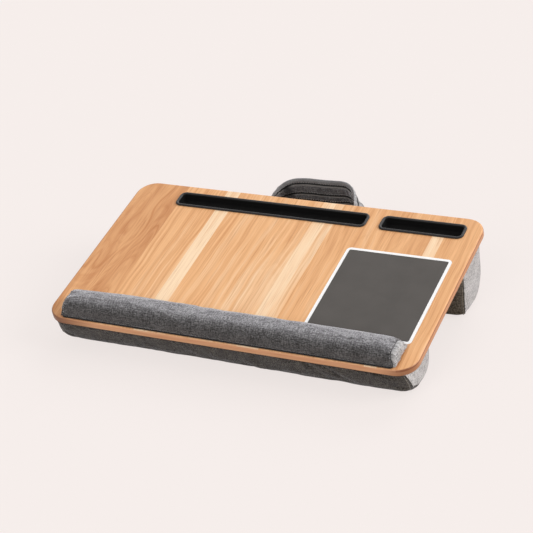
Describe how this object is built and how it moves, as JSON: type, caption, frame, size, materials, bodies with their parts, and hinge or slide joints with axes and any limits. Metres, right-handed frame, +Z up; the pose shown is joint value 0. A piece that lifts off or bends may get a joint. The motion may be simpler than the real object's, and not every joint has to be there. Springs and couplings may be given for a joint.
{
  "type": "lap desk",
  "caption": "Tilted wood-faced lap desk on stuffed fabric bolsters, with device trays, an inlaid mouse pad, a padded wrist rest and a swinging loop handle.",
  "frame": {"origin": "bottom centre of the bounding box, on the surface that the desk stands on", "axes": "+X to the user's right along the desk's long side, +Y away from the user, +Z up"},
  "size_m": [0.58, 0.386, 0.127],
  "materials": {
    "wood_laminate": "satin oak-grain laminate",
    "fibreboard": "raw medium-density fibreboard",
    "black_plastic": "moulded, fine satin",
    "grey_pad": "smooth matt synthetic leather",
    "white_border": "matt white",
    "grey_linen": "mottled grey linen weave",
    "foam": "open-cell foam"
  },
  "bodies": {
    "desk": {"board_core": "fibreboard", "board_laminate": "wood_laminate", "long_tray": "black_plastic", "short_tray": "black_plastic", "mouse_pad": "grey_pad", "mouse_pad_border": "white_border", "wrist_rest_cover": "grey_linen", "wrist_rest_foam": "foam", "wrist_rest_end_left": "grey_linen", "wrist_rest_end_right": "grey_linen", "front_bolster_cover": "grey_linen", "front_bolster_foam": "foam", "front_bolster_end_left": "grey_linen", "front_bolster_end_right": "grey_linen", "rear_bolster_cover": "grey_linen", "rear_bolster_foam": "foam", "rear_bolster_end_left": "grey_linen", "rear_bolster_end_right": "grey_linen", "underside_fabric": "grey_linen", "handle_tab_left": "grey_linen", "handle_tab_right": "grey_linen"},
    "handle": {"handle_cover": "grey_linen", "handle_padding": "foam"}
  },
  "joints": [
    {"name": "handle_swing", "type": "hinge", "parent": "desk", "child": "handle", "pos_m": [0, 0.13202, 0.094], "axis": [1, 0, 0], "range_deg": [-60, 25], "stiffness_Nm_per_rad": 0.4, "springref_deg": 0.92}
  ]
}
